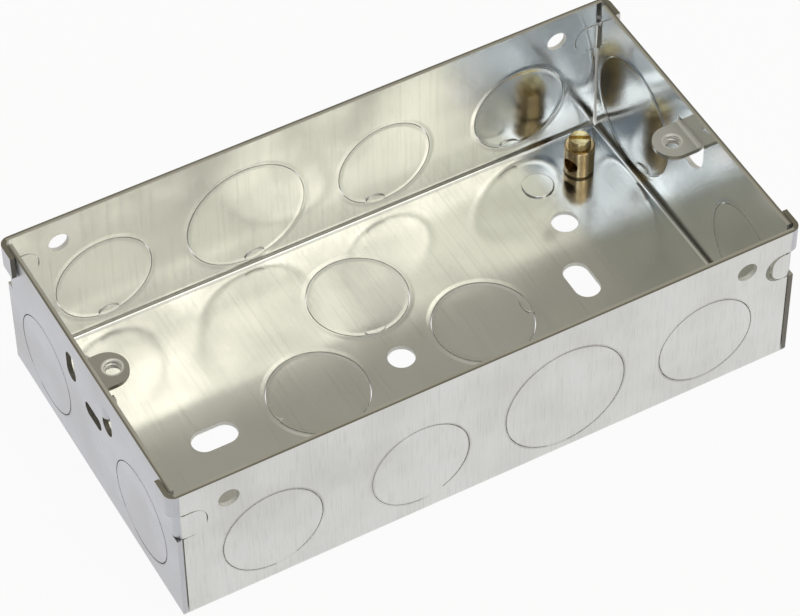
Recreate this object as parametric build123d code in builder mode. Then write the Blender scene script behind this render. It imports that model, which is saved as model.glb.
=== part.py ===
from build123d import *
import os
from math import cos, radians, sin
from typing import NamedTuple

# Metal back box for a twin wiring accessory, in millimetres.
# Frame: the origin is the middle of the back face, +Z points out of the open front,
# +X runs along the long side and +Y along the short side.

# Box, measured outside the sheet
length = 131.0
width = 71.4
height = 35.4
sheet = 1.0
bend_r = 0.8  # inside radius where a wall turns up from the base

# Upright corners: the end walls cover the ends of the long walls
seam_gap = 0.3  # between a long wall's end and the end wall
corner_bend_r = 1.0  # inside radius of what is folded round a corner
band_height = 5.5  # of the band that a long wall folds round each corner, up to the rim
band_reach = 5.5  # how far the band runs along the end wall
band_play = 0.1  # the band stands this clear of the end wall
tab_slot = 0.4  # between the band and the tab below it
tab_clear = 0.15  # below the tab
tab_end_r = 2.4
notch_height = 6.9  # of the notch below the band, in the long wall, that takes the tab
notch_reach = 6.4
notch_gap_close = 0.3  # from the tab's end to the notch
notch_gap_open = 1.6  # the same, front right

# Knockouts: discs cut round by a fine groove and held by one bridge
small_ko_r = 10.35
large_ko_r = 12.95
small_ko_z = 14.6
large_ko_z = 15.9
groove = 0.2
bridge = 4.4
bump_length = 4.4
bump_width = 1.9
bump_height = 0.25
bump_round = 0.16
bump_inset = 1.0  # from the groove's outer edge to the bump's middle
long_ko_inset = 19.15  # along a long wall, from its end to the first knockout's middle
end_ko_inset = 15.5  # along an end wall, from its end to a knockout's middle

# Small holes near the ends of the long walls
side_hole_r = 2.15
side_hole_inset = 10.7  # from the wall's end
side_hole_drop = 6.1  # from the rim

# Accessory lugs
lug_inset = 5.2  # from the end wall to the hole's axis, which puts the holes 120.6 apart
lug_width = 8.3
lug_hole_r = 1.6
lug_entry_round = 0.4
lug_collar_wall = 0.75
lug_collar_drop = 1.2
fixed_lug_reach = 3.95  # from the hole's axis to the lug's tip
fixed_lug_drop = 5.85  # from the rim to the lug lanced from the right wall
window_width = 9.5  # of the window that this lug leaves
window_drop = 8.35  # from the lug's top face to the window's lowest point

# Adjustable lug and what guides it on the left wall
adjustable_lug_drop = 3.6  # from the rim to the lug's top face
adjustable_lug_reach = 3.05  # from the hole's axis to the lug's tip
lug_sheet = 0.9
lug_bend_r = 0.6
leg_width = 11.2
leg_shoulder_drop = 1.8  # from the lug's top face to the leg's shoulders
leg_corner_r = 0.8
leg_play = 0.05  # the leg's back stands this clear of the wall
lug_down = 0.9  # the lug's travel down to the stop tab
tab_bend_r = 0.3
guide_side_play = 0.05
guide_lip_play = 0.1
guide_window_width = 3.85
guide_window_drop = 4.8  # from the rim
guide_window_height = 7.0
guide_drop = 5.4  # from the rim to the guide tabs
guide_height = 3.4
guide_lip_reach = 1.0  # how far a lip reaches over the leg
stop_y = -1.2
stop_window_width = 6.8
stop_window_height = 3.4
stop_hinge_drop = 11.7  # from the rim to where the stop tab starts to bend
stop_tab_width = 5.8
stop_tab_reach = 3.2
stop_play = 0.1

# Base
base_y = -0.9  # middle line of the fixing slots
fixing_hole_x = -0.5
fixing_hole_r = 2.8
slot_width = 5.45
slot_length = 9.65
slot_x = 40.8  # each side of the fixing hole
base_ko_x = 18.35  # each side of the fixing hole
base_ko_y = 16.9
entry_hole_inset = (20.2, 21.6)  # from the right wall and from the back wall
entry_hole_r = 2.8
boss_inset = (20.0, 10.6)
boss_r = 3.35
boss_height = 0.4
boss_round = 0.25

# Earth terminal, riveted into the base, and its clamp screw
terminal_inset = (10.3, 10.4)  # from the right wall and from the back wall
post_r = 3.12
post_height = 7.2
post_chamfer = 0.25
shank_r = 1.95
shank_play = 0.02
rivet_inset = 0.05  # the rivet ends this far inside the back face
wire_hole_r = 1.7
wire_hole_rise = 3.3  # from the base to the hole's axis
wire_hole_deg = -159.0
screw_r = 2.2
screw_play = 0.11
screw_proud = 1.9  # above the post
screw_length = 4.0
screw_chamfer = 0.22
screw_slot = 1.0
screw_slot_depth = 1.1
screw_slot_deg = -30.0
screw_bore_floor = 1.3  # from the base up to the floor of the screw's bore, below the wire hole

edge_tolerance = 0.001  # for picking a circular edge by its radius

# Worked out from the sizes above
through = 2 * sheet
half_l = length / 2
half_w = width / 2
inner_wall_x = half_l - sheet
band_z = height - band_height
notch_z = band_z - notch_height
long_ko_pitch = 2 * (half_l - long_ko_inset) / 3
end_ko_y = half_w - end_ko_inset
side_hole_x = half_l - side_hole_inset
side_hole_z = height - side_hole_drop
lug_x = half_l - lug_inset
fixed_lug_z = height - fixed_lug_drop
adjustable_lug_z = height - adjustable_lug_drop
guide_top = height - guide_drop
guide_z = guide_top - guide_height
stop_hinge_z = height - stop_hinge_drop
entry_hole = (half_l - entry_hole_inset[0], half_w - entry_hole_inset[1])
boss = (half_l - boss_inset[0], half_w - boss_inset[1])
terminal = (half_l - terminal_inset[0], half_w - terminal_inset[1])


class Knockout(NamedTuple):
    """A disc on its wall: middle, groove radius, where its bridge is, and how it was pushed."""

    x: float
    y: float
    r: float
    bridge_deg: float
    push_x: float = 0.0
    push_y: float = 0.0


def folded(corner, x_dir, z_dir, run_a, run_b, thick, inner_r):
    """Section of a strip folded square: its outer corner at corner, its legs along -x and -y."""
    outer_r = inner_r + thick
    with BuildSketch(Plane(origin=corner, x_dir=x_dir, z_dir=z_dir)) as section:
        with BuildLine():
            Line((-run_a, 0), (-outer_r, 0))
            CenterArc((-outer_r, -outer_r), outer_r, 0, 90)
            Line((0, -outer_r), (0, -run_b))
            Line((0, -run_b), (-thick, -run_b))
            Line((-thick, -run_b), (-thick, -outer_r))
            CenterArc((-outer_r, -outer_r), inner_r, 0, 90)
            Line((-outer_r, -thick), (-run_a, -thick))
            Line((-run_a, -thick), (-run_a, 0))
        make_face()
    return section.sketch


def bridge_place(knockout, inset):
    """Location on the knockout's bridge, this far inside its groove, turned along the groove."""
    reach = knockout.r - inset
    angle = radians(knockout.bridge_deg)
    place = (knockout.x + reach * cos(angle), knockout.y + reach * sin(angle), 0)
    return Location(place, knockout.bridge_deg + 90)


def grooves(outside, knockouts):
    """Fine rings round the knockouts, each broken at its bridge, on the wall's outer face."""
    with BuildSketch(outside) as rings:
        for ko in knockouts:
            with Locations((ko.x, ko.y)):
                Circle(ko.r)
            with Locations((ko.x + ko.push_x, ko.y + ko.push_y)):
                Circle(ko.r - groove, mode=Mode.SUBTRACT)
            with Locations(bridge_place(ko, 0)):
                Rectangle(bridge, 6 * groove, mode=Mode.SUBTRACT)
    return rings.sketch


def bridge_bumps(outside, knockouts):
    """Feet of the bumps that the bridges raise inside, drawn at the middle of the sheet."""
    with BuildSketch(outside.offset(-sheet / 2)) as feet:
        for ko in knockouts:
            with Locations(bridge_place(ko, bump_inset)):
                Ellipse(bump_length / 2, bump_width / 2)
    return feet.sketch


def bump_rims(piece, outside):
    """The rims of the bumps that stand inside the wall with this outer face."""
    rims = piece.edges().filter_by(GeomType.ELLIPSE)
    depth = sheet + bump_height
    return rims.filter_by(
        lambda edge: abs(outside.to_local_coords(edge.center()).Z + depth) < edge_tolerance
    )


def round_edge(piece, middle, radius):
    """The circular edge of this radius whose middle is nearest to the point."""
    circles = piece.edges().filter_by(GeomType.CIRCLE)
    same = circles.filter_by(lambda edge: abs(edge.radius - radius) < edge_tolerance)
    return same.sort_by(lambda edge: (edge.arc_center - Vector(*middle)).length)[0]


front = Plane(origin=(0, -half_w, 0), x_dir=(1, 0, 0), z_dir=(0, -1, 0))
back = Plane(origin=(0, half_w, 0), x_dir=(-1, 0, 0), z_dir=(0, 1, 0))
left = Plane(origin=(-half_l, 0, 0), x_dir=(0, -1, 0), z_dir=(-1, 0, 0))
right = Plane(origin=(half_l, 0, 0), x_dir=(0, 1, 0), z_dir=(1, 0, 0))
under = Plane(origin=(0, 0, 0), x_dir=(1, 0, 0), z_dir=(0, 0, -1))

# Each long wall as seen from outside. The back wall is the front wall turned half round.
front_knockouts = [
    Knockout(-1.5 * long_ko_pitch, small_ko_z, small_ko_r, -76.6),
    Knockout(-0.5 * long_ko_pitch, small_ko_z, small_ko_r, -76.6, -0.1, 0.0),
    Knockout(0.5 * long_ko_pitch, large_ko_z, large_ko_r, -96.6),
    Knockout(1.5 * long_ko_pitch, small_ko_z, small_ko_r, -91.7),
]
back_knockouts = [ko._replace(push_x=0.0) for ko in front_knockouts]
back_knockouts[2] = back_knockouts[2]._replace(push_x=-0.08, push_y=-0.08)
left_knockouts = [Knockout(s * end_ko_y, small_ko_z, small_ko_r, -125.0) for s in (-1, 1)]
right_knockouts = [
    Knockout(-end_ko_y, small_ko_z, small_ko_r, -125.0),
    Knockout(end_ko_y, large_ko_z, large_ko_r, -110.0),
]
# The base is seen from behind, so its Y runs the other way there.
base_knockouts = [
    Knockout(fixing_hole_x, -base_ko_y, small_ko_r, 97.0),
    Knockout(fixing_hole_x - base_ko_x, -base_y, small_ko_r, 177.0),
    Knockout(fixing_hole_x + base_ko_x, -base_y, small_ko_r, 2.0),
]

with BuildPart() as box_shell:
    # Folded tray
    with BuildSketch():
        Rectangle(length, width)
    extrude(amount=height)
    fillet(box_shell.faces().sort_by(Axis.Z)[0].edges(), bend_r + sheet)
    with BuildSketch(Plane.XY.offset(sheet)):
        Rectangle(length - 2 * sheet, width - 2 * sheet)
    extrude(amount=height, mode=Mode.SUBTRACT)
    fillet(box_shell.faces().filter_by(Axis.Z).sort_by(Axis.Z)[1].edges(), bend_r)

    # Corners
    outer_r = corner_bend_r + sheet
    tab_z = notch_z + tab_clear
    tab_height = band_z - tab_slot - tab_z
    for sx in (-1, 1):
        for sy in (-1, 1):
            turn = sx * sy
            wall = front if sy < 0 else back
            # side of the corner as seen from outside the long wall
            side = -turn
            tab_reach = notch_reach - (notch_gap_open if sx > 0 > sy else notch_gap_close)
            # seam between the long wall's end and the end wall, open down through the bend
            seam_y = half_w - sheet - bend_r
            with BuildSketch(Plane.XY.offset(-sheet)):
                with Locations((sx * (inner_wall_x - seam_gap / 2), sy * (seam_y + half_w) / 2)):
                    Rectangle(seam_gap, half_w - seam_y)
            extrude(amount=notch_z + sheet + tab_clear, mode=Mode.SUBTRACT)
            # the end wall stops short of the corner above the seam
            with BuildSketch(Plane.XY.offset(notch_z)):
                with Locations((sx * (half_l - sheet / 2), sy * (half_w - outer_r / 2))):
                    Rectangle(sheet, outer_r)
            extrude(amount=height, mode=Mode.SUBTRACT)
            # rounded notch in the long wall
            with BuildSketch(wall):
                with Locations((side * half_l, notch_z + notch_height / 2)):
                    SlotOverall(2 * notch_reach, notch_height)
            extrude(amount=-sheet, mode=Mode.SUBTRACT)
            # band of the long wall, folded round outside the end wall
            corner = (sx * (half_l + band_play + sheet), sy * half_w, band_z)
            band = folded(
                corner, (sx, 0, 0), (0, 0, turn), notch_reach, band_reach, sheet, corner_bend_r
            )
            extrude(band, amount=turn * (height - band_z))
            # tab of the end wall, folded into the notch
            corner = (sx * half_l, sy * half_w, tab_z)
            tab_run = outer_r + tab_clear
            tab_bend = folded(
                corner, (sx, 0, 0), (0, 0, turn), tab_run, tab_run, sheet, corner_bend_r
            )
            extrude(tab_bend, amount=turn * tab_height)
            with BuildSketch(wall):
                with Locations((side * half_l, tab_z + tab_height / 2)):
                    RectangleRounded(2 * tab_reach, tab_height, tab_end_r)
                with Locations((side * (half_l - outer_r + notch_reach), tab_z + tab_height / 2)):
                    Rectangle(2 * notch_reach, 2 * tab_height, mode=Mode.SUBTRACT)
            extrude(amount=-sheet)

    # Knockouts and side holes
    for outside, knockouts in (
        (front, front_knockouts),
        (back, back_knockouts),
        (left, left_knockouts),
        (right, right_knockouts),
        (under, base_knockouts),
    ):
        extrude(grooves(outside, knockouts), amount=-through, mode=Mode.SUBTRACT)
        extrude(bridge_bumps(outside, knockouts), amount=-(sheet / 2 + bump_height))
        fillet(bump_rims(box_shell, outside), bump_round)
    for wall in (front, back):
        with BuildSketch(wall):
            with Locations((-side_hole_x, side_hole_z), (side_hole_x, side_hole_z)):
                Circle(side_hole_r)
        extrude(amount=-through, mode=Mode.SUBTRACT)

    # Lug lanced from the right wall and folded inwards, and the window it leaves
    lug_bend_top = fixed_lug_z + corner_bend_r
    window_z = fixed_lug_z - window_drop
    window_height = lug_bend_top - window_z
    with BuildSketch(right):
        with Locations((0, lug_bend_top)):
            SlotOverall(2 * window_height, window_width, rotation=90)
            above = (Align.CENTER, Align.MIN)
            Rectangle(2 * window_width, 2 * window_height, align=above, mode=Mode.SUBTRACT)
    extrude(amount=-through, mode=Mode.SUBTRACT)
    corner = (half_l, -lug_width / 2, fixed_lug_z - sheet)
    end_x = lug_x - fixed_lug_reach + lug_width / 2
    lug_fold = folded(
        corner, (1, 0, 0), (0, 1, 0), half_l - end_x, outer_r + sheet, sheet, corner_bend_r
    )
    extrude(lug_fold, amount=lug_width)
    with BuildSketch(Plane.XY.offset(fixed_lug_z - sheet)):
        with Locations((end_x, 0)):
            Circle(lug_width / 2)
        with Locations((end_x + lug_width, 0)):
            Rectangle(2 * lug_width, 2 * lug_width, mode=Mode.SUBTRACT)
    extrude(amount=sheet)
    with BuildSketch(Plane.XY.offset(fixed_lug_z)):
        with Locations((lug_x, 0)):
            Circle(lug_hole_r + lug_collar_wall)
    extrude(amount=-(sheet + lug_collar_drop))
    with BuildSketch(Plane.XY.offset(fixed_lug_z)):
        with Locations((lug_x, 0)):
            Circle(lug_hole_r)
    extrude(amount=-(sheet + lug_collar_drop), mode=Mode.SUBTRACT)
    fillet(round_edge(box_shell, (lug_x, 0, fixed_lug_z), lug_hole_r), lug_entry_round)

    # Windows and guide tabs for the adjustable lug, struck from the left wall
    guide_y = leg_width / 2 + guide_side_play
    with BuildSketch(left):
        for s in (-1, 1):
            middle = height - guide_window_drop - guide_window_height / 2
            with Locations((s * (guide_y + guide_window_width / 2), middle)):
                SlotOverall(guide_window_height, guide_window_width, rotation=90)
        with Locations((-stop_y, stop_hinge_z - stop_window_height / 2)):
            SlotOverall(stop_window_width, stop_window_height)
    extrude(amount=-through, mode=Mode.SUBTRACT)
    stand_y = guide_y + tab_bend_r + sheet
    lip_x = -inner_wall_x + leg_play + lug_sheet + guide_lip_play + sheet
    stand_run = (lip_x + half_l) / 2
    for s in (-1, 1):
        corner = (-half_l, s * stand_y, guide_z)
        wall_run = stand_y - guide_y + sheet
        stand = folded(corner, (0, s, 0), (0, 0, s), wall_run, stand_run, sheet, tab_bend_r)
        extrude(stand, amount=s * (guide_height))
        corner = (lip_x, s * stand_y, guide_z)
        lip_run = stand_y - leg_width / 2 + guide_lip_reach
        lip = folded(corner, (1, 0, 0), (0, 0, s), stand_run, lip_run, sheet, tab_bend_r)
        extrude(lip, amount=s * (guide_height))
    stop_top = stop_hinge_z - tab_bend_r
    corner = (-half_l, stop_y + stop_tab_width / 2, stop_top - sheet)
    stop_run = 2 * sheet + tab_bend_r
    stop = folded(corner, (-1, 0, 0), (0, -1, 0), stop_tab_reach, stop_run, sheet, tab_bend_r)
    extrude(stop, amount=stop_tab_width)

    # Base: slots, holes, the embossed disc and the terminal's rivet hole
    with BuildSketch(Plane.XY.offset(-sheet)):
        with Locations((fixing_hole_x - slot_x, base_y)):
            SlotOverall(slot_length, slot_width)
        with Locations((fixing_hole_x + slot_x, base_y)):
            SlotOverall(slot_length, slot_width, rotation=90)
        with Locations((fixing_hole_x, base_y)):
            Circle(fixing_hole_r)
        with Locations(entry_hole):
            Circle(entry_hole_r)
        with Locations(terminal):
            Circle(shank_r + shank_play)
    extrude(amount=2 * through, mode=Mode.SUBTRACT)
    with BuildSketch(Plane.XY.offset(sheet)):
        with Locations(boss):
            Circle(boss_r)
    extrude(amount=boss_height)
    fillet(round_edge(box_shell, (*boss, sheet + boss_height), boss_r), boss_round)
    with BuildSketch():
        with Locations(boss):
            Circle(boss_r - boss_height)
    extrude(amount=boss_height, mode=Mode.SUBTRACT)

with BuildPart() as adjustable_lug:
    back_x = -inner_wall_x + leg_play
    leg_z = stop_top + stop_play + lug_down
    shoulder_z = adjustable_lug_z - leg_shoulder_drop
    corner = (back_x, -lug_width / 2, adjustable_lug_z)
    end_x = -lug_x + adjustable_lug_reach - lug_width / 2
    fold_run = leg_shoulder_drop + lug_sheet
    fold = folded(
        corner, (-1, 0, 0), (0, 1, 0), end_x - back_x, fold_run, lug_sheet, lug_bend_r
    )
    extrude(fold, amount=lug_width)
    with BuildSketch(Plane(origin=(back_x, 0, 0), x_dir=(0, 1, 0), z_dir=(1, 0, 0))):
        with Locations((0, (leg_z + shoulder_z) / 2)):
            RectangleRounded(leg_width, shoulder_z - leg_z, leg_corner_r)
    extrude(amount=lug_sheet)
    with BuildSketch(Plane.XY.offset(adjustable_lug_z - lug_sheet)):
        with Locations((end_x, 0)):
            Circle(lug_width / 2)
        with Locations((end_x - lug_width, 0)):
            Rectangle(2 * lug_width, 2 * lug_width, mode=Mode.SUBTRACT)
    extrude(amount=lug_sheet)
    with BuildSketch(Plane.XY.offset(adjustable_lug_z)):
        with Locations((-lug_x, 0)):
            Circle(lug_hole_r + lug_collar_wall)
    extrude(amount=-(lug_sheet + lug_collar_drop))
    with BuildSketch(Plane.XY.offset(adjustable_lug_z)):
        with Locations((-lug_x, 0)):
            Circle(lug_hole_r)
    extrude(amount=-(lug_sheet + lug_collar_drop), mode=Mode.SUBTRACT)
    fillet(round_edge(adjustable_lug, (-lug_x, 0, adjustable_lug_z), lug_hole_r), lug_entry_round)

with BuildPart() as earth_terminal:
    foot = Plane(origin=(*terminal, sheet))
    top = foot.offset(post_height)
    with BuildSketch(foot):
        Circle(post_r)
    extrude(amount=post_height)
    chamfer(earth_terminal.faces().sort_by(Axis.Z)[-1].edges(), post_chamfer)
    chamfer(earth_terminal.faces().sort_by(Axis.Z)[0].edges(), post_chamfer)
    with BuildSketch(foot):
        Circle(shank_r)
    extrude(amount=-(sheet - rivet_inset))
    with BuildSketch(top):
        Circle(screw_r + screw_play)
    extrude(amount=-(post_height - screw_bore_floor), mode=Mode.SUBTRACT)
    wire_way = (cos(radians(wire_hole_deg)), sin(radians(wire_hole_deg)), 0)
    wire_axis = Plane(origin=(*terminal, sheet + wire_hole_rise), z_dir=wire_way)
    with BuildSketch(wire_axis):
        Circle(wire_hole_r)
    extrude(amount=2 * post_r, both=True, mode=Mode.SUBTRACT)

with BuildPart() as terminal_screw:
    screw_top = top.offset(screw_proud)
    with BuildSketch(screw_top):
        Circle(screw_r)
    extrude(amount=-screw_length)
    chamfer(terminal_screw.faces().filter_by(Axis.Z).edges(), screw_chamfer)
    with BuildSketch(screw_top):
        Rectangle(4 * screw_r, screw_slot, rotation=screw_slot_deg)
    extrude(amount=-screw_slot_depth, mode=Mode.SUBTRACT)

os.makedirs("parts", exist_ok=True)
box_shell.part.label = "box_shell"
export_step(box_shell.part, "parts/box_shell.step")
adjustable_lug.part.label = "adjustable_lug"
export_step(adjustable_lug.part, "parts/adjustable_lug.step")
earth_terminal.part.label = "earth_terminal"
export_step(earth_terminal.part, "parts/earth_terminal.step")
terminal_screw.part.label = "terminal_screw"
export_step(terminal_screw.part, "parts/terminal_screw.step")
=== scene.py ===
"""Looks of the metal back box: its sheet and brass finishes, its screw threads and the studio."""

import logging
import math
from dataclasses import dataclass, field
from enum import Enum
from typing import Any, Mapping, Sequence, Union

import bmesh
import bpy
from mathutils import Matrix, Vector


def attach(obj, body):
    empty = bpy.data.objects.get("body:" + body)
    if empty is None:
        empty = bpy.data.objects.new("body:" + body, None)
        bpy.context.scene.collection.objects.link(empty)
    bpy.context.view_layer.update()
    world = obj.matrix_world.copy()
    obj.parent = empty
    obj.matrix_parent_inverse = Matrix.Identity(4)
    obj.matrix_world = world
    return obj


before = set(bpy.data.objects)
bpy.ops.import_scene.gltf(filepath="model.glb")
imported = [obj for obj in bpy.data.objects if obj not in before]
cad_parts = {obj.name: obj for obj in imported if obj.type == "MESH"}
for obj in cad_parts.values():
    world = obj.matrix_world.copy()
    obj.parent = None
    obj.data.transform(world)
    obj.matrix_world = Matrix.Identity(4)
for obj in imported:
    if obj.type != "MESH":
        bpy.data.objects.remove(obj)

MM = 0.001
IMAGE_WIDTH_PX = 800
WHITE = (1.0, 1.0, 1.0)

Colour = tuple[float, float, float]
Span = tuple[float, float]
Socket = bpy.types.NodeSocket
Value = Union[float, Sequence[float], Socket]

log = logging.getLogger("back_box")


class Slot(Enum):
    """Material slots that the record names."""

    SHEET = "galvanised_sheet"
    BRASS = "brass"


class Body(Enum):
    """Bodies that move together."""

    BOX = "box"
    LUG = "lug"
    SCREW = "screw"


@dataclass(frozen=True)
class Pattern:
    """Soft noise: its cells to a metre, its finer layers, and how fine it is along each direction."""

    per_metre: float
    detail: float
    stretch: tuple[float, float, float] = (1.0, 1.0, 1.0)


class Graph:
    """Nodes of one material or of the world, added and wired by short calls."""

    def __init__(self, tree: bpy.types.NodeTree) -> None:
        """Keep the tree, emptied."""
        tree.nodes.clear()
        self.tree = tree

    def feed(self, socket: Socket, value: Value) -> None:
        """Give an input a plain value or another node's output.

        Args:
            socket: the input.
            value: a number, a vector, a colour or an output.
        """
        if isinstance(value, bpy.types.NodeSocket):
            self.tree.links.new(value, socket)
        elif socket.type == "RGBA":
            socket.default_value = (*value, 1.0)
        else:
            socket.default_value = value

    def add(self, kind: str, inputs: Mapping[Any, Value], **settings: Any) -> bpy.types.Node:
        """Add a node.

        Args:
            kind: the node's type.
            inputs: what each input gets, by name or by number.
            **settings: the node's own settings.

        Returns:
            The new node.
        """
        node = self.tree.nodes.new(kind)
        for name, setting in settings.items():
            setattr(node, name, setting)
        for key, value in inputs.items():
            self.feed(node.inputs[key], value)
        return node

    def math(self, operation: str, first: Value, second: Value = 0.0) -> Socket:
        """Work out one sum.

        Args:
            operation: what the Math node does.
            first: its first number.
            second: its second number.

        Returns:
            The result.
        """
        return self.add("ShaderNodeMath", {0: first, 1: second}, operation=operation).outputs[0]

    def below(self, value: Value, limit: float) -> Socket:
        """Tell with 1 or 0 whether a number is less than a limit."""
        return self.math("LESS_THAN", value, limit)

    def above(self, value: Value, limit: float) -> Socket:
        """Tell with 1 or 0 whether a number is greater than a limit."""
        return self.math("GREATER_THAN", value, limit)

    def size(self, value: Value) -> Socket:
        """Drop a number's sign."""
        return self.math("ABSOLUTE", value)

    def total(self, first: Value, second: Value) -> Socket:
        """Add two numbers."""
        return self.math("ADD", first, second)

    def less(self, first: Value, second: Value) -> Socket:
        """Take the second number from the first."""
        return self.math("SUBTRACT", first, second)

    def vector(self, operation: str, first: Value, second: Value = (0.0, 0.0, 0.0)) -> Socket:
        """Work out one vector."""
        return self.add("ShaderNodeVectorMath", {0: first, 1: second}, operation=operation).outputs[0]

    def distance(self, first: Value, second: Value) -> Socket:
        """Measure how far apart two points are."""
        inputs = {0: first, 1: second}
        return self.add("ShaderNodeVectorMath", inputs, operation="DISTANCE").outputs["Value"]

    def product(self, *factors: Value) -> Socket:
        """Multiply two or more numbers.

        Args:
            *factors: the numbers.

        Returns:
            Their product.
        """
        result = factors[0]
        for factor in factors[1:]:
            result = self.math("MULTIPLY", result, factor)
        return result

    def largest(self, first: Value, *others: Value) -> Socket:
        """Keep the largest of several numbers.

        Args:
            first: one of them.
            *others: the rest.

        Returns:
            The largest.
        """
        result = first
        for other in others:
            result = self.math("MAXIMUM", result, other)
        return result

    def pick(self, factor: Value, off: Value, on: Value) -> Socket:
        """Go from one number (factor 0) to another (factor 1)."""
        return self.add("ShaderNodeMix", {0: factor, 2: off, 3: on}).outputs[0]

    def blend(self, factor: Value, under: Value, over: Value) -> Socket:
        """Lay one colour over another.

        Args:
            factor: how much of the upper colour shows.
            under: the lower colour.
            over: the upper colour.

        Returns:
            The mixed colour.
        """
        node = self.add("ShaderNodeMix", {0: factor}, data_type="RGBA", clamp_result=False)
        self.feed(node.inputs[6], under)
        self.feed(node.inputs[7], over)
        return node.outputs[2]

    def ease(self, value: Value, low: float, high: float, start: float = 0.0, end: float = 1.0) -> Socket:
        """Bring a number smoothly from one range to another, held at both ends.

        Args:
            value: the number.
            low: where the old range starts.
            high: where it ends.
            start: what low becomes.
            end: what high becomes.

        Returns:
            The number in its new range.
        """
        inputs = {"Value": value, "From Min": low, "From Max": high, "To Min": start, "To Max": end}
        node = self.add("ShaderNodeMapRange", inputs, interpolation_type="SMOOTHSTEP")
        return node.outputs["Result"]

    def noise(self, place: Socket, pattern: Pattern) -> Socket:
        """Lay soft noise over the surface.

        Args:
            place: the point.
            pattern: how fine the noise is.

        Returns:
            A number about 0.5.
        """
        stretched = self.vector("MULTIPLY", place, pattern.stretch)
        inputs = {"Vector": stretched, "Scale": pattern.per_metre, "Detail": pattern.detail}
        return self.add("ShaderNodeTexNoise", inputs).outputs["Fac"]

    def parts(self, vector: Socket) -> Sequence[Socket]:
        """Split a vector into its three numbers."""
        return self.add("ShaderNodeSeparateXYZ", {0: vector}).outputs

    def join(self, x: Value, y: Value, z: Value) -> Socket:
        """Make a vector of three numbers."""
        return self.add("ShaderNodeCombineXYZ", {0: x, 1: y, 2: z}).outputs[0]

    def light_path(self, *rays: str) -> Socket:
        """Tell whether a ray is one of several kinds.

        Args:
            *rays: outputs of the Light Path node.

        Returns:
            1 for those kinds of ray and 0 for the others.
        """
        path = self.add("ShaderNodeLightPath", {})
        return self.largest(*(path.outputs[ray] for ray in rays))

    def bump(self, height: Socket, depth: float, under: Socket | None = None) -> Socket:
        """Raise a surface by a height from 0 to 1.

        Args:
            height: the relief.
            depth: how high 1 stands, in metres.
            under: the normal that the relief is laid on.

        Returns:
            The new normal.
        """
        inputs = {"Height": height, "Distance": depth, "Strength": 1.0}
        if under is not None:
            inputs["Normal"] = under
        return self.add("ShaderNodeBump", inputs).outputs["Normal"]

    def metal(self, colour: Socket, roughness: Socket, normal: Socket, **fixed: Value) -> None:
        """End a material with a metallic shader.

        Args:
            colour: its colour.
            roughness: how matt it is.
            normal: its relief.
            **fixed: other inputs of the shader, the same all over.
        """
        inputs = {"Base Color": colour, "Roughness": roughness, "Normal": normal}
        inputs.update({name.replace("_", " "): value for name, value in fixed.items()})
        shader = self.add("ShaderNodeBsdfPrincipled", inputs)
        self.add("ShaderNodeOutputMaterial", {"Surface": shader.outputs[0]})


def new_material(name: str) -> tuple[bpy.types.Material, Graph]:
    """Start an empty node material.

    Args:
        name: what it is called.

    Returns:
        The material and its graph.
    """
    material = bpy.data.materials.new(name)
    material.use_nodes = True
    return material, Graph(material.node_tree)


def dress(piece: bpy.types.Object, material: bpy.types.Material) -> None:
    """Put one finish on every material slot of a piece.

    Args:
        piece: the piece.
        material: its finish.
    """
    if not piece.material_slots:
        piece.data.materials.append(material)
    for slot in piece.material_slots:
        slot.material = material
    log.info("%s wears %s", piece.name, material.name)


@dataclass(frozen=True)
class Knockout:
    """One punched disc: its middle and radius in millimetres, and how far the punch tipped it."""

    middle: tuple[float, float, float]
    radius: float
    tip: tuple[float, float, float]


@dataclass(frozen=True)
class Spot:
    """The point that a material is working on: its place, and which way the surface faces there."""

    place: Socket
    x: Socket
    y: Socket
    z: Socket
    across_x: Socket
    across_y: Socket
    up: Socket

    @classmethod
    def read(cls, graph: Graph) -> "Spot":
        """Read the point in the piece's own coordinates.

        Args:
            graph: the material's nodes.

        Returns:
            The point.
        """
        coordinates = graph.add("ShaderNodeTexCoord", {}).outputs
        place, normal = coordinates["Object"], coordinates["Normal"]
        return cls(place, *graph.parts(place), *graph.parts(normal))


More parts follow.
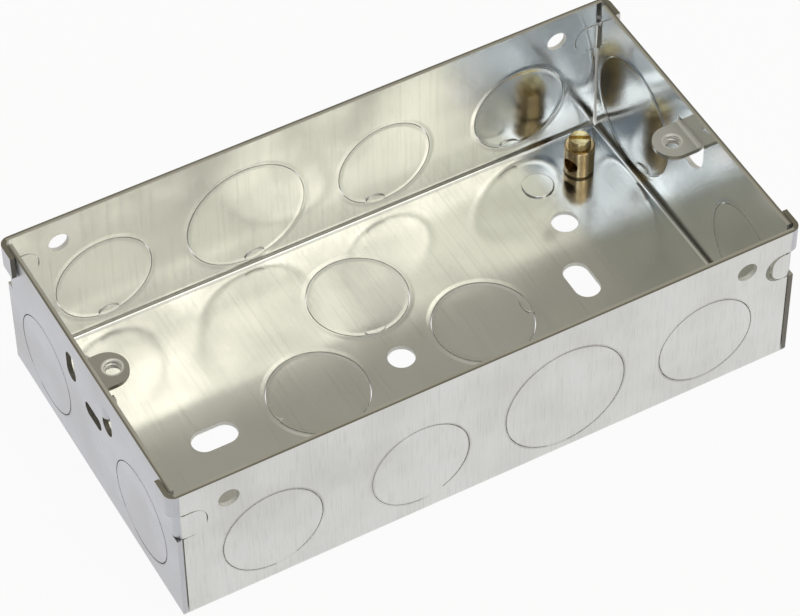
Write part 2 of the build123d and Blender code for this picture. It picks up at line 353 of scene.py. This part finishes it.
@dataclass(frozen=True)
class SheetSizes:
    """Where the sheet of the box lies, in metres, and how steep a face may be to count as facing a way."""

    length: float = 131.0 * MM
    width: float = 71.4 * MM
    height: float = 35.4 * MM
    sheet: float = 1.0 * MM
    bend: float = 2.0 * MM
    notch_z: float = 23.0 * MM
    slack: float = 0.06 * MM
    side_on: float = 0.35
    facing: float = 0.7
    upright: float = 0.3
    lug_x: float = 60.3 * MM
    lug_z: float = 27.0 * MM
    lip_r: float = 2.3 * MM
    lip_fade: float = 0.4 * MM
    knockouts: tuple[Knockout, ...] = (
        Knockout((-18.85, -0.9, 0.5), 10.35, (0.012, -0.01, 0.0)),
        Knockout((17.85, -0.9, 0.5), 10.35, (-0.012, -0.012, 0.0)),
        Knockout((-0.5, 16.9, 0.5), 10.35, (-0.018, -0.022, 0.0)),
        Knockout((-46.35, 35.2, 14.6), 10.35, (-0.02, 0.0, 0.012)),
        Knockout((-15.45, 35.2, 15.9), 12.95, (0.03, 0.0, 0.022)),
        Knockout((15.45, 35.2, 14.6), 10.35, (-0.014, 0.0, -0.012)),
        Knockout((46.35, 35.2, 14.6), 10.35, (0.02, 0.0, 0.01)),
        Knockout((-46.35, -35.2, 14.6), 10.35, (0.01, 0.0, 0.02)),
        Knockout((-15.45, -35.2, 14.6), 10.35, (-0.01, 0.0, -0.02)),
        Knockout((15.45, -35.2, 15.9), 12.95, (0.014, 0.0, 0.02)),
        Knockout((46.35, -35.2, 14.6), 10.35, (-0.01, 0.0, 0.014)),
        Knockout((65.0, 20.2, 15.9), 12.95, (0.0, 0.03, 0.02)),
        Knockout((65.0, -20.2, 14.6), 10.35, (0.0, -0.03, 0.02)),
        Knockout((-65.0, 20.2, 14.6), 10.35, (0.0, 0.02, 0.02)),
        Knockout((-65.0, -20.2, 14.6), 10.35, (0.0, 0.02, -0.02)),
    )


@dataclass(frozen=True)
class GalvanisedFinish:
    """Rolled sheet with a thin zinc coat: glossy inside, scuffed outside, bare where it is cut."""

    name: str = "galvanised_sheet"

    # colours of the zinc, by face
    inside_zinc: Colour = (0.78, 0.775, 0.73)
    outside_zinc: Colour = (0.69, 0.69, 0.67)
    # painted shade and painted reflection: the end walls' outer faces are darker and bluer only because less
    # light reaches them
    shaded_end_zinc: Colour = (0.50, 0.505, 0.54)
    # painted shade: the end walls' inner faces, the same zinc as inside_zinc made darker
    inside_end_shade_zinc: Colour = (0.66, 0.665, 0.64)
    dull_zinc: Colour = (0.55, 0.54, 0.51)
    # painted highlight on the rim for its rounded cut edge, and a dark outer line that is partly bare burr,
    # partly painted shade
    rim_highlight_zinc: Colour = (0.78, 0.76, 0.69)
    rim_burr_and_shade: Colour = (0.36, 0.34, 0.28)
    # painted highlight: a light ring on the rounded entries of the lug holes
    lip_highlight_zinc: Colour = (0.90, 0.88, 0.82)
    punched_zinc: Colour = (0.80, 0.79, 0.74)
    # painted shade: dark sides of the holes and grooves punched in the left wall, where the lug's parts
    # behind keep light out
    window_shade_steel: Colour = (0.16, 0.15, 0.12)
    sheared_steel: Colour = (0.17, 0.155, 0.13)

    # noise, where it starts and ends to show, and how strongly
    grain: Pattern = Pattern(1500.0, 3.0, (1.0, 0.025, 1.0))
    cloud: Pattern = Pattern(60.0, 5.0)
    wave: Pattern = Pattern(42.0, 1.0, (1.0, 0.35, 1.0))
    scratch: Pattern = Pattern(3300.0, 2.0, (1.0, 0.05, 1.0))
    dull_grain: Span = (0.45, 0.75)
    dull_cloud: Span = (0.4, 0.68)
    gloss_cloud: Span = (0.3, 0.7)
    # painted shade beside the knockout grooves on the outside, broken up by the cloud
    groove_shade_cloud: Span = (0.3, 0.65)
    groove_shade_ring: Span = (0.62, 0.95)
    scratched: Span = (0.5, 0.7)
    # where the rim's dark outer line of burr and painted shade fades in
    burr_and_rim_shade: Span = (0.4 * MM, 0.8 * MM)
    grain_tone: float = 0.22
    cloud_tone: float = 0.3
    groove_shade_tone: float = 0.34
    scratch_tone: float = 0.11

    # roughness and shine
    inside_gloss: Span = (0.17, 0.26)
    outside_gloss: Span = (0.26, 0.38)
    glossy_end: Span = (12.0 * MM, 42.0 * MM)
    glossy_share: float = 0.75
    lug_roughness: float = 0.36
    cut_roughness: float = 0.45
    cut_shine: float = 0.25
    # less shine on the lips, for their painted highlight
    lip_highlight_shine: float = 0.55

    # relief: heights in metres, and leans as shares of the normal
    grain_depth: float = 0.0012 * MM
    wave_depth: float = 0.11 * MM
    ring_reach: float = 1.1 * MM
    ring_depth: float = 0.05 * MM
    bend_bow: float = 0.05
    bend_bow_reach: float = 5.0 * MM
    foot_bow: float = 0.11
    foot_bow_reach: float = 10.0 * MM
    bulge: float = 0.06
    bulge_x: Span = (4.0 * MM, -14.0 * MM)
    bulge_front: Span = (7.0 * MM, 11.0 * MM)
    bulge_back: Span = (29.0 * MM, 24.0 * MM)

    def punched(self, graph: Graph, spot: Spot, sizes: SheetSizes) -> Socket:
        """Find the sides of the holes and grooves that are punched through the sheet.

        Args:
            graph: the material's nodes.
            spot: the point.
            sizes: where the sheet lies.

        Returns:
            1 there and 0 elsewhere.
        """
        far_x, far_y = graph.size(spot.x), graph.size(spot.y)
        across = [graph.size(part) for part in (spot.across_x, spot.across_y, spot.up)]
        edge_x, edge_y, edge_z = (graph.below(part, sizes.side_on) for part in across)
        in_end_wall = graph.above(far_x, sizes.length / 2 - sizes.sheet - sizes.slack)
        in_long_wall = graph.above(far_y, sizes.width / 2 - sizes.sheet - sizes.slack)
        in_base = graph.below(spot.z, sizes.sheet + sizes.slack)
        off_ends = graph.below(far_x, sizes.length / 2 - sizes.bend)
        off_sides = graph.below(far_y, sizes.width / 2 - sizes.bend)
        off_rim = graph.below(spot.z, sizes.height - sizes.slack)
        off_base = graph.product(graph.above(spot.z, sizes.bend), off_rim)
        through_end = graph.product(in_end_wall, edge_x, off_sides, off_base)
        through_long = graph.product(in_long_wall, edge_y, off_ends, off_base)
        through_base = graph.product(in_base, edge_z, off_ends, off_sides)
        return graph.largest(through_end, through_long, through_base)

    def sheared(self, graph: Graph, spot: Spot, sizes: SheetSizes) -> Socket:
        """Find the bare edges of the end walls at the two corners whose seams stand open.

        Args:
            graph: the material's nodes.
            spot: the point.
            sizes: where the sheet lies.

        Returns:
            1 there and 0 elsewhere.
        """
        in_end_wall = graph.above(graph.size(spot.x), sizes.length / 2 - sizes.sheet)
        at_corner = graph.above(graph.size(spot.y), sizes.width / 2 - sizes.slack)
        under_notch = graph.below(spot.z, sizes.notch_z)
        open_seam = graph.below(graph.product(spot.x, spot.y), 0.0)
        return graph.product(in_end_wall, at_corner, under_notch, open_seam)

    def rings(self, graph: Graph, spot: Spot, sizes: SheetSizes) -> tuple[Socket, Socket]:
        """Follow the rings round the knockouts, for the relief the punch left there and for the painted
        shade beside the grooves.

        Args:
            graph: the material's nodes.
            spot: the point.
            sizes: where the sheet lies.

        Returns:
            How far the sheet is drawn in beside each ring, from 0 to 1, and how each disc is tipped.
        """
        drawn, tipped = [], (0.0, 0.0, 0.0)
        for knockout in sizes.knockouts:
            radius = knockout.radius * MM
            away = graph.distance(spot.place, tuple(number * MM for number in knockout.middle))
            drawn.append(graph.ease(graph.size(graph.less(away, radius)), self.ring_reach, 0.0))
            on_disc = graph.below(away, radius)
            tip = graph.join(*(graph.product(on_disc, number) for number in knockout.tip))
            tipped = graph.vector("ADD", tipped, tip)
        return graph.largest(*drawn), tipped

    def bowed(self, graph: Graph, spot: Spot, sizes: SheetSizes, tipped: Socket) -> Socket:
        """Lean the surface as pressing left it: tipped discs, bows beside the bends and a bulge in the base.

        Args:
            graph: the material's nodes.
            spot: the point.
            sizes: where the sheet lies.
            tipped: how the discs lean.

        Returns:
            The leaning normal.
        """
        on_base = graph.product(
            graph.above(spot.up, sizes.facing), graph.below(spot.z, sizes.sheet + sizes.slack)
        )
        inward = graph.below(self.outward(graph, spot), 0.0)
        on_wall = graph.product(inward, graph.below(spot.up, sizes.upright))
        reach_x, reach_y = sizes.length / 2 - sizes.bend, sizes.width / 2 - sizes.bend
        bow, bow_reach = self.bend_bow, self.bend_bow_reach
        away_x = graph.less(
            graph.ease(spot.x, -reach_x + bow_reach, -reach_x, 0.0, bow),
            graph.ease(spot.x, reach_x - bow_reach, reach_x, 0.0, bow),
        )
        bulge = graph.product(
            graph.ease(spot.x, *self.bulge_x, 0.0, self.bulge),
            graph.ease(spot.y, *self.bulge_front),
            graph.ease(spot.y, *self.bulge_back),
        )
        away_y = graph.total(graph.ease(spot.y, reach_y - bow_reach, reach_y, 0.0, -bow), bulge)
        foot = graph.ease(spot.z, sizes.bend + self.foot_bow_reach, sizes.bend, 0.0, -self.foot_bow)
        lean = graph.join(
            graph.product(on_base, away_x), graph.product(on_base, away_y), graph.product(on_wall, foot)
        )
        facing = graph.add("ShaderNodeNewGeometry", {}).outputs["Normal"]
        leaning = graph.vector("ADD", facing, graph.vector("ADD", lean, tipped))
        return graph.vector("NORMALIZE", leaning)

    def outward(self, graph: Graph, spot: Spot) -> Socket:
        """Tell how far a wall's face looks away from the middle of the box, below 0 where it looks in."""
        return graph.total(graph.product(spot.x, spot.across_x), graph.product(spot.y, spot.across_y))

    def lugs(self, graph: Graph, spot: Spot, sizes: SheetSizes) -> tuple[Socket, Socket]:
        """Find the tops of the accessory lugs and the lips of their holes, which carry a painted highlight.

        Args:
            graph: the material's nodes.
            spot: the point.
            sizes: where the sheet lies.

        Returns:
            1 on a lug's top and 0 elsewhere, and 1 on a lip's painted highlight, fading to 0 round it.
        """
        by_lug = graph.above(spot.z, sizes.lug_z)
        under_rim = graph.below(spot.z, sizes.height - sizes.bend)
        on_lug = graph.product(by_lug, graph.above(spot.up, sizes.side_on), under_rim)
        either_lug = graph.join(graph.size(spot.x), spot.y, 0.0)
        off_axis = graph.distance(either_lug, (sizes.lug_x, 0.0, 0.0))
        lip_highlight = graph.product(by_lug, graph.ease(off_axis, sizes.lip_r, sizes.lip_r - sizes.lip_fade))
        return on_lug, lip_highlight

    def rim(self, graph: Graph, spot: Spot, sizes: SheetSizes) -> Socket:
        """Colour the rim: a painted highlight across it for its rounded cut edge, and a dark line along its
        outer edge that is partly bare burr and partly painted shade.

        Args:
            graph: the material's nodes.
            spot: the point.
            sizes: where the sheet lies.

        Returns:
            The rim's colour.
        """
        off_end = graph.less(graph.size(spot.x), sizes.length / 2 - sizes.sheet)
        off_side = graph.less(graph.size(spot.y), sizes.width / 2 - sizes.sheet)
        burr_and_rim_shade = graph.ease(graph.largest(off_end, off_side), *self.burr_and_rim_shade)
        return graph.blend(burr_and_rim_shade, self.rim_highlight_zinc, self.rim_burr_and_shade)

    def make(self, sizes: SheetSizes) -> bpy.types.Material:
        """Build the finish.

        Args:
            sizes: where the sheet lies.

        Returns:
            The material.
        """
        material, graph = new_material(self.name)
        spot = Spot.read(graph)
        # the sheet was rolled along Y, so the grain climbs the long walls and runs level on the end walls
        on_end = graph.above(graph.size(spot.across_x), sizes.facing)
        over_grain = graph.pick(on_end, spot.x, spot.z)
        rolled = graph.join(over_grain, graph.total(spot.y, spot.z), 0.0)
        grain = graph.noise(rolled, self.grain)
        cloud = graph.noise(spot.place, self.cloud)

        # where each treatment shows
        outward = graph.less(self.outward(graph, spot), graph.product(spot.up, sizes.length))
        outside = graph.above(outward, 0.0)
        in_end_wall = graph.above(graph.size(spot.x), sizes.length / 2 - sizes.sheet - sizes.slack)
        # where the painted shade of the end walls' inner faces goes
        shaded_inner_end = graph.product(on_end, in_end_wall, graph.less(1.0, outside))
        on_rim = graph.above(spot.z, sizes.height - sizes.slack)
        punched = self.punched(graph, spot, sizes)
        # painted shade on the punched sides of the left wall's windows and grooves
        window_shade = graph.product(punched, graph.below(spot.x, sizes.sheet - sizes.length / 2))
        sheared = self.sheared(graph, spot, sizes)
        cut = graph.largest(punched, sheared)
        drawn, tipped = self.rings(graph, spot, sizes)
        on_lug, lip_highlight = self.lugs(graph, spot, sizes)
        scratched = graph.ease(graph.noise(rolled, self.scratch), *self.scratched, 0.0, self.scratch_tone)
        # painted shade: a dark ring beside each knockout groove on the outside
        groove_shade = graph.product(
            graph.ease(drawn, *self.groove_shade_ring), graph.ease(cloud, *self.groove_shade_cloud, 0.0, self.groove_shade_tone)
        )

        # colour
        tone = graph.blend(outside, self.inside_zinc, self.outside_zinc)
        # painted shade on the end walls' inner faces
        tone = graph.blend(shaded_inner_end, tone, self.inside_end_shade_zinc)
        # painted shade and a painted bluish reflection on the end walls' outer faces
        tone = graph.blend(graph.product(outside, in_end_wall), tone, self.shaded_end_zinc)
        tone = graph.blend(graph.ease(cloud, *self.dull_cloud, 0.0, self.cloud_tone), tone, self.dull_zinc)
        tone = graph.blend(graph.ease(grain, *self.dull_grain, 0.0, self.grain_tone), tone, self.dull_zinc)
        tone = graph.blend(graph.product(outside, scratched), tone, self.sheared_steel)
        # painted shade beside the knockout grooves
        tone = graph.blend(graph.product(outside, groove_shade), tone, self.sheared_steel)
        # painted highlight and painted shade on the rim
        tone = graph.blend(on_rim, tone, self.rim(graph, spot, sizes))
        # painted highlight round the lug holes
        tone = graph.blend(lip_highlight, tone, self.lip_highlight_zinc)
        tone = graph.blend(punched, tone, self.punched_zinc)
        # painted shade in the left wall's windows
        tone = graph.blend(window_shade, tone, self.window_shade_steel)
        tone = graph.blend(sheared, tone, self.sheared_steel)

        # roughness and shine
        towards_end = graph.ease(spot.x, *self.glossy_end, 1.0, self.glossy_share)
        inside_matt = graph.product(graph.ease(cloud, *self.gloss_cloud, *self.inside_gloss), towards_end)
        inside_matt = graph.pick(on_lug, inside_matt, self.lug_roughness)
        outside_matt = graph.ease(cloud, *self.gloss_cloud, *self.outside_gloss)
        matt = graph.pick(outside, inside_matt, outside_matt)
        matt = graph.pick(cut, matt, self.cut_roughness)
        cut_shine = graph.ease(cut, 0.0, 1.0, 1.0, self.cut_shine)
        shine = graph.math("MINIMUM", cut_shine, graph.ease(lip_highlight, 0.0, 1.0, 1.0, self.lip_highlight_shine))

        relief = self.bowed(graph, spot, sizes, tipped)
        relief = graph.bump(graph.noise(rolled, self.wave), self.wave_depth, relief)
        relief = graph.bump(drawn, self.ring_depth, relief)
        relief = graph.bump(grain, self.grain_depth, relief)
        graph.metal(tone, matt, relief, Metallic=shine)
        return material


@dataclass(frozen=True)
class BrassFinish:
    """Turned brass, a little tarnished, with fine rings left by the tool and painted shade in a dark line
    round its foot, where it meets the base.
    """

    name: str
    bright: Colour = (0.83, 0.62, 0.27)
    tarnished: Colour = (0.42, 0.26, 0.10)
    # painted shade: a dark band round the post's foot, where it meets the base
    foot_shade_brown: Colour = (0.10, 0.06, 0.03)
    cloud: Pattern = Pattern(420.0, 4.0)
    rub: Pattern = Pattern(2600.0, 2.0, (0.15, 0.15, 1.0))
    stained: Span = (0.4, 0.7)
    rubbed: Span = (0.5, 0.7)
    gloss_cloud: Span = (0.3, 0.7)
    tarnish: float = 0.5
    rub_tone: float = 0.25
    foot_shade_z: Span = (1.7 * MM, 1.35 * MM)
    foot_shade_tone: float = 0.85
    gloss: float = 0.10
    dull: float = 0.24
    ring_pitch: float = 0.22 * MM
    ring_depth: float = 0.004 * MM

    def make(self) -> bpy.types.Material:
        """Build the finish.

        Returns:
            The material.
        """
        material, graph = new_material(self.name)
        spot = Spot.read(graph)
        cloud = graph.noise(spot.place, self.cloud)
        rubbed = graph.noise(spot.place, self.rub)
        turns = graph.math("SINE", graph.product(spot.z, 2 * math.pi / self.ring_pitch))
        stained = graph.ease(cloud, *self.stained, 0.0, self.tarnish)
        tone = graph.blend(stained, self.bright, self.tarnished)
        tone = graph.blend(graph.ease(rubbed, *self.rubbed, 0.0, self.rub_tone), tone, self.tarnished)
        # painted shade round the foot
        tone = graph.blend(graph.ease(spot.z, *self.foot_shade_z, 0.0, self.foot_shade_tone), tone, self.foot_shade_brown)
        matt = graph.ease(cloud, *self.gloss_cloud, self.gloss, self.dull)
        relief = graph.bump(graph.total(turns, rubbed), self.ring_depth)
        graph.metal(tone, matt, relief, Metallic=1.0)
        return material


@dataclass
class HelicalThread:
    """The ridge of a screw thread, as a closed strip wound round an axis along Z."""

    name: str
    axis: tuple[float, float]
    root_r: float
    crest_r: float
    pitch: float
    low: float
    high: float
    body: Body
    slot: Slot
    foot: float = 0.38
    crest: float = 0.06
    steps: int = 56

    def section(self, angle: float, share: float) -> list[Vector]:
        """Place the ridge's four edges at one turn of the helix.

        Args:
            angle: how far round the axis it is, in radians.
            share: how much of the full ridge stands there.

        Returns:
            Four points, from the lower foot over the crest to the upper foot.
        """
        crest_r = self.root_r + (self.crest_r - self.root_r) * share
        rise = self.low + self.pitch * angle / (2 * math.pi)
        profile = (
            (self.root_r, -self.foot),
            (crest_r, -self.crest),
            (crest_r, self.crest),
            (self.root_r, self.foot),
        )
        out = Vector((math.cos(angle), math.sin(angle), 0.0))
        middle = Vector((*self.axis, rise))
        return [middle + out * r + Vector((0.0, 0.0, up * self.pitch)) for r, up in profile]

    def build(self, material: bpy.types.Material) -> bpy.types.Object:
        """Wind the ridge, dress it and put it on its body.

        Args:
            material: its finish.

        Returns:
            The thread.
        """
        turns = (self.high - self.low) / self.pitch
        count = int(turns * self.steps)
        run_out = self.steps / 2
        mesh = bmesh.new()
        rings = []
        for step in range(count + 1):
            share = min(1.0, (step + 0.5) / run_out, (count - step + 0.5) / run_out)
            angle = 2 * math.pi * step / self.steps
            rings.append([mesh.verts.new(point) for point in self.section(angle, share)])
        for here, there in zip(rings, rings[1:]):
            for side in range(4):
                after = (side + 1) % 4
                mesh.faces.new((here[side], here[after], there[after], there[side]))
        mesh.faces.new(rings[0])
        mesh.faces.new(rings[-1])
        bmesh.ops.recalc_face_normals(mesh, faces=mesh.faces)
        data = bpy.data.meshes.new(self.name)
        mesh.to_mesh(data)
        mesh.free()
        piece = bpy.data.objects.new(self.name, data)
        bpy.context.scene.collection.objects.link(piece)
        dress(piece, material)
        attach(piece, self.body.value)
        return piece


@dataclass
class BoxShell:
    """The folded box with the lug lanced from its right wall."""

    sizes: SheetSizes = field(default_factory=SheetSizes)
    node: str = "box_shell"
    lug_x: float = 60.3 * MM
    lug_top: float = 29.55 * MM
    hole_r: float = 1.62 * MM
    crest_r: float = 1.4 * MM
    pitch: float = 0.6 * MM
    entry: float = 0.45 * MM
    hole_depth: float = 2.15 * MM

    def build(self, finish: bpy.types.Material) -> None:
        """Dress the shell and wind the thread in its lug.

        Args:
            finish: the galvanised finish.
        """
        dress(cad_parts[self.node], finish)
        thread = HelicalThread(
            "fixed_lug_thread",
            (self.lug_x, 0.0),
            self.hole_r,
            self.crest_r,
            self.pitch,
            self.lug_top - self.hole_depth + self.pitch / 2,
            self.lug_top - self.entry,
            Body.BOX,
            Slot.SHEET,
        )
        thread.build(finish)


@dataclass
class AdjustableLug:
    """The sliding lug on the left wall."""

    node: str = "adjustable_lug"
    lug_x: float = -60.3 * MM
    lug_top: float = 31.8 * MM
    hole_r: float = 1.62 * MM
    crest_r: float = 1.4 * MM
    pitch: float = 0.6 * MM
    entry: float = 0.45 * MM
    hole_depth: float = 2.05 * MM

    def build(self, finish: bpy.types.Material) -> None:
        """Dress the lug and wind its thread.

        Args:
            finish: the lug's finish.
        """
        dress(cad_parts[self.node], finish)
        thread = HelicalThread(
            "adjustable_lug_thread",
            (self.lug_x, 0.0),
            self.hole_r,
            self.crest_r,
            self.pitch,
            self.lug_top - self.hole_depth + self.pitch / 2,
            self.lug_top - self.entry,
            Body.LUG,
            Slot.SHEET,
        )
        thread.build(finish)


@dataclass
class EarthTerminal:
    """The brass post and its clamp screw."""

    post_node: str = "earth_terminal"
    screw_node: str = "terminal_screw"
    axis: tuple[float, float] = (55.2 * MM, 25.3 * MM)
    screw_low: float = 6.1 * MM
    screw_top: float = 10.1 * MM
    screw_r: float = 2.18 * MM
    crest_r: float = 2.29 * MM
    pitch: float = 0.7 * MM
    bare_end: float = 0.65

    def build(self, post: bpy.types.Material, screw: bpy.types.Material) -> None:
        """Dress the post and the screw, and wind the screw's thread.

        Args:
            post: the post's finish.
            screw: the screw's finish.
        """
        dress(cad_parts[self.post_node], post)
        dress(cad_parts[self.screw_node], screw)
        end = self.bare_end * self.pitch
        thread = HelicalThread(
            "terminal_screw_thread",
            self.axis,
            self.screw_r,
            self.crest_r,
            self.pitch,
            self.screw_low + end,
            self.screw_top - end,
            Body.SCREW,
            Slot.BRASS,
        )
        thread.build(screw)


@dataclass(frozen=True)
class SoftPanel:
    """A far panel of soft light with fading edges, as the metal sees it; angles are in degrees."""

    name: str
    azimuth: float
    elevation: float
    half_width: float
    half_height: float
    side_fade: float
    top_fade: float
    colour: Colour

    def cover(self, graph: Graph, direction: Socket) -> Socket:
        """Tell how much of the panel lies in a direction.

        Args:
            graph: the world's nodes.
            direction: where a ray goes.

        Returns:
            1 on the panel, 0 off it and between the two in its faded edges.
        """
        x, y, z = graph.parts(direction)
        across, along = math.cos(math.radians(self.azimuth)), math.sin(math.radians(self.azimuth))
        aside = graph.less(graph.product(x, across), graph.product(y, along))
        ahead = graph.total(graph.product(x, along), graph.product(y, across))
        turn = graph.size(graph.math("ARCTAN2", aside, ahead))
        climb = graph.size(graph.less(graph.math("ARCSINE", z), math.radians(self.elevation)))
        sides = self.faded(graph, turn, self.half_width, self.side_fade)
        return graph.product(sides, self.faded(graph, climb, self.half_height, self.top_fade))

    @staticmethod
    def faded(graph: Graph, angle: Socket, half: float, fade: float) -> Socket:
        """Fade out round one edge.

        Args:
            graph: the world's nodes.
            angle: how far off the middle the ray is, in radians.
            half: where the edge is, in degrees.
            fade: how far the fade reaches on each side of it.

        Returns:
            1 inside and 0 outside.
        """
        return graph.ease(angle, math.radians(half + fade), math.radians(max(0.0, half - fade)))


@dataclass
class Studio:
    """Pale floor, soft light and the camera at the photograph's angle."""

    camera_place: Vector = field(default_factory=lambda: Vector((-222.015, -408.988, 549.635)) * MM)
    camera_azimuth: float = 28.4725
    camera_elevation: float = 49.001
    camera_roll: float = -0.685
    focal_px: float = 3696.3
    sensor: float = 36.0
    nearest: float = 0.01
    furthest: float = 20.0
    floor_half: float = 3.0
    floor_drop: float = 0.05 * MM
    floor_colour: Colour = (0.86, 0.86, 0.85)
    floor_glow: float = 0.93
    room: Colour = (0.62, 0.61, 0.58)
    panels: tuple[SoftPanel, ...] = (
        SoftPanel("overhead", 30.0, 84.0, 180.0, 22.0, 1.0, 4.0, (1.05, 1.04, 1.0)),
        SoftPanel("behind", 5.0, 46.0, 62.0, 12.0, 8.0, 3.0, (0.345, 0.335, 0.29)),
        SoftPanel("behind_left", -38.0, 46.0, 20.0, 12.0, 8.0, 3.0, (0.44, 0.445, 0.39)),
        SoftPanel("before_middle", 146.0, 42.0, 20.0, 11.0, 5.0, 4.0, (0.95, 0.98, 0.88)),
        SoftPanel("before_right", 164.0, 39.0, 12.0, 9.5, 5.0, 4.0, (2.5, 2.46, 2.32)),
        SoftPanel("left", 265.0, 40.0, 40.0, 30.0, 8.0, 6.0, (0.16, 0.155, 0.14)),
        SoftPanel("before_left", 213.0, 38.0, 15.0, 12.0, 5.0, 4.0, (0.10, 0.17, 0.28)),
        SoftPanel("window", 213.0, 49.5, 8.0, 3.4, 3.0, 0.9, (4.2, 4.6, 5.4)),
    )

    def build_camera(self) -> None:
        """Set the camera where the photograph was taken from."""
        data = bpy.data.cameras.new("camera")
        data.sensor_width = self.sensor
        data.lens = self.focal_px / IMAGE_WIDTH_PX * self.sensor
        data.clip_start, data.clip_end = self.nearest, self.furthest
        camera = bpy.data.objects.new("camera", data)
        turn = Matrix.Rotation(-math.radians(self.camera_azimuth), 4, "Z")
        tip = Matrix.Rotation(math.radians(90.0 - self.camera_elevation), 4, "X")
        roll = Matrix.Rotation(math.radians(self.camera_roll), 4, "Z")
        camera.matrix_world = Matrix.Translation(self.camera_place) @ turn @ tip @ roll
        bpy.context.scene.collection.objects.link(camera)
        bpy.context.scene.camera = camera

    def build_floor(self) -> None:
        """Lay the pale floor, white to the camera but with the box's soft shadow on it."""
        half, drop = self.floor_half, -self.floor_drop
        corners = [(-half, -half, drop), (half, -half, drop), (half, half, drop), (-half, half, drop)]
        data = bpy.data.meshes.new("floor")
        data.from_pydata(corners, [], [(0, 1, 2, 3)])
        floor = bpy.data.objects.new("floor", data)
        bpy.context.scene.collection.objects.link(floor)
        material, graph = new_material("floor")
        plain = graph.add("ShaderNodeBsdfDiffuse", {"Color": self.floor_colour})
        glow = graph.add("ShaderNodeEmission", {"Color": WHITE, "Strength": 1.0})
        seen = graph.light_path("Is Camera Ray", "Is Glossy Ray", "Is Transmission Ray")
        share = graph.product(seen, self.floor_glow)
        mixed = graph.add("ShaderNodeMixShader", {0: share, 1: plain.outputs[0], 2: glow.outputs[0]})
        graph.add("ShaderNodeOutputMaterial", {"Surface": mixed.outputs[0]})
        dress(floor, material)

    def build_sky(self) -> None:
        """Surround the box with soft light, white to the camera."""
        world = bpy.data.worlds.new("studio")
        bpy.context.scene.world = world
        world.use_nodes = True
        graph = Graph(world.node_tree)
        direction = graph.add("ShaderNodeTexCoord", {}).outputs["Generated"]
        light = graph.add("ShaderNodeRGB", {}).outputs[0]
        light.default_value = (*self.room, 1.0)
        for panel in self.panels:
            light = graph.blend(panel.cover(graph, direction), light, panel.colour)
        seen = graph.blend(graph.light_path("Is Camera Ray"), light, WHITE)
        glow = graph.add("ShaderNodeBackground", {"Color": seen, "Strength": 1.0})
        graph.add("ShaderNodeOutputWorld", {"Surface": glow.outputs[0]})

    def build(self) -> None:
        """Set up the whole studio."""
        bpy.context.scene.view_settings.view_transform = "Standard"
        self.build_camera()
        self.build_floor()
        self.build_sky()


def main() -> None:
    """Dress the box, add its threads and set up the studio."""
    logging.basicConfig(level=logging.INFO, format="%(message)s")
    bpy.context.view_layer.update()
    Studio().build()
    shell = BoxShell()
    shell.build(GalvanisedFinish().make(shell.sizes))
    lug_finish = GalvanisedFinish(
        name="galvanised_lug",
        inside_zinc=(0.50, 0.475, 0.42),
        # painted shade: the lug's outer faces, seen only through the wall's windows, are made dark as if in
        # shadow
        outside_zinc=(0.18, 0.17, 0.15),
        dull_zinc=(0.38, 0.36, 0.31),
    )
    AdjustableLug().build(lug_finish.make(shell.sizes))
    EarthTerminal().build(
        BrassFinish("brass_post", bright=(0.72, 0.56, 0.31)).make(),
        BrassFinish("brass_screw", bright=(0.80, 0.68, 0.36), tarnish=0.4, dull=0.32).make(),
    )


if __name__ == "__main__":
    main()
